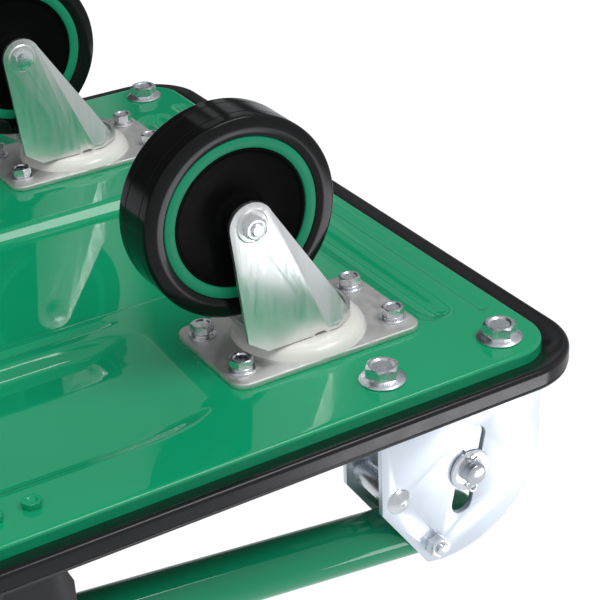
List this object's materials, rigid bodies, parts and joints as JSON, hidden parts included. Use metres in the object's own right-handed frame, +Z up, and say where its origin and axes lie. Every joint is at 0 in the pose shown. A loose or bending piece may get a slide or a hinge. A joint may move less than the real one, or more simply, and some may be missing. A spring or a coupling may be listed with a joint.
{
  "type": "platform trolley",
  "caption": "Platform trolley with a pressed steel deck, rubber edge bumper, a fold-down tube handle with a foot-operated lock bar, and swivel and fixed castors.",
  "frame": {"origin": "on the floor, under the middle of the deck", "axes": "+Z up, +X towards the front, away from the handle's hinge, +Y to the left; handle folded down over the deck"},
  "size_m": [0.902, 0.576, 0.2964],
  "materials": {
    "deck_paint": "gloss green enamel",
    "handle_paint": "gloss green enamel",
    "mat_rubber": "matt, ribbed",
    "bumper_rubber": "satin",
    "rest_plastic": "satin moulded",
    "bush_plastic": "natural nylon",
    "plate_zinc": "bright zinc plated",
    "fork_zinc": "bright zinc plated",
    "bracket_zinc": "bright zinc plated",
    "bar_zinc": "zinc plated",
    "fastener_zinc": "bright zinc plated",
    "bearing_steel": "ground",
    "tyre": "gloss moulded",
    "wheel_rim": "gloss moulded",
    "hub_disc": "satin moulded"
  },
  "bodies": {
    "deck": {"deck_panel": "deck_paint", "deck_mat": "mat_rubber", "edge_bumper": "bumper_rubber", "bracket_right": "bracket_zinc", "bracket_left": "bracket_zinc", "bracket_bolts": "fastener_zinc", "bracket_nuts": "fastener_zinc", "stop_bolts": "fastener_zinc", "stop_sleeves": "fastener_zinc", "stop_nuts": "fastener_zinc", "pivot_bolts": "fastener_zinc", "pivot_nuts": "fastener_zinc", "handle_rests": "rest_plastic", "rest_screws": "fastener_zinc", "lock_springs": "fastener_zinc", "castor_plate_rear_left": "plate_zinc", "castor_plate_rear_right": "plate_zinc", "fixed_fork_front_left": "fork_zinc", "fixed_fork_front_right": "fork_zinc", "castor_bolts": "fastener_zinc", "castor_washers": "fastener_zinc", "castor_nuts": "fastener_zinc", "front_axles": "fastener_zinc", "front_axle_nuts": "fastener_zinc"},
    "swivel_left": {"swivel_fork_left": "fork_zinc", "kingpin_left": "fastener_zinc", "swivel_balls_left": "fastener_zinc", "rear_axle_left": "fastener_zinc", "rear_axle_nut_left": "fastener_zinc"},
    "swivel_right": {"swivel_fork_right": "fork_zinc", "kingpin_right": "fastener_zinc", "swivel_balls_right": "fastener_zinc", "rear_axle_right": "fastener_zinc", "rear_axle_nut_right": "fastener_zinc"},
    "handle": {"handle_tube": "handle_paint", "handle_end_caps": "handle_paint", "handle_bushes": "bush_plastic"},
    "lock_bar": {"lock_bar": "bar_zinc", "lock_washers": "fastener_zinc", "split_pins": "fastener_zinc"},
    "wheel_rear_left": {"tyre_rear_left": "tyre", "rim_rear_left": "wheel_rim", "hub_caps_rear_left": "hub_disc", "bearing_rear_left": "bearing_steel"},
    "wheel_rear_right": {"tyre_rear_right": "tyre", "rim_rear_right": "wheel_rim", "hub_caps_rear_right": "hub_disc", "bearing_rear_right": "bearing_steel"},
    "wheel_front_left": {"tyre_front_left": "tyre", "rim_front_left": "wheel_rim", "hub_caps_front_left": "hub_disc", "bearing_front_left": "bearing_steel"},
    "wheel_front_right": {"tyre_front_right": "tyre", "rim_front_right": "wheel_rim", "hub_caps_front_right": "hub_disc", "bearing_front_right": "bearing_steel"}
  },
  "joints": [
    {"name": "swivel_left_turn", "type": "hinge", "parent": "deck", "child": "swivel_left", "pos_m": [-0.307, 0.17, 0.15], "axis": [0, 0, 1], "continuous": true},
    {"name": "wheel_rear_left_spin", "type": "hinge", "parent": "swivel_left", "child": "wheel_rear_left", "pos_m": [-0.264, 0.17, 0.0625], "axis": [0, 1, 0], "continuous": true},
    {"name": "swivel_right_turn", "type": "hinge", "parent": "deck", "child": "swivel_right", "pos_m": [-0.307, -0.17, 0.15], "axis": [0, 0, 1], "continuous": true},
    {"name": "wheel_rear_right_spin", "type": "hinge", "parent": "swivel_right", "child": "wheel_rear_right", "pos_m": [-0.264, -0.17, 0.0625], "axis": [0, 1, 0], "continuous": true},
    {"name": "wheel_front_left_spin", "type": "hinge", "parent": "deck", "child": "wheel_front_left", "pos_m": [0.307, 0.17, 0.0625], "axis": [0, 1, 0], "continuous": true},
    {"name": "wheel_front_right_spin", "type": "hinge", "parent": "deck", "child": "wheel_front_right", "pos_m": [0.307, -0.17, 0.0625], "axis": [0, 1, 0], "continuous": true},
    {"name": "handle_fold", "type": "hinge", "parent": "deck", "child": "handle", "pos_m": [-0.341, 0, 0.276], "axis": [0, -1, 0], "range_deg": [0, 109]},
    {"name": "lock_bar_slide", "type": "slide", "parent": "deck", "child": "lock_bar", "axis": [-0.2079, 0, -0.9781], "range_m": [-0.024, 0.022], "stiffness_N_per_m": 2000, "springref_m": -0.0033, "deforming": ["lock_springs"]}
  ]
}
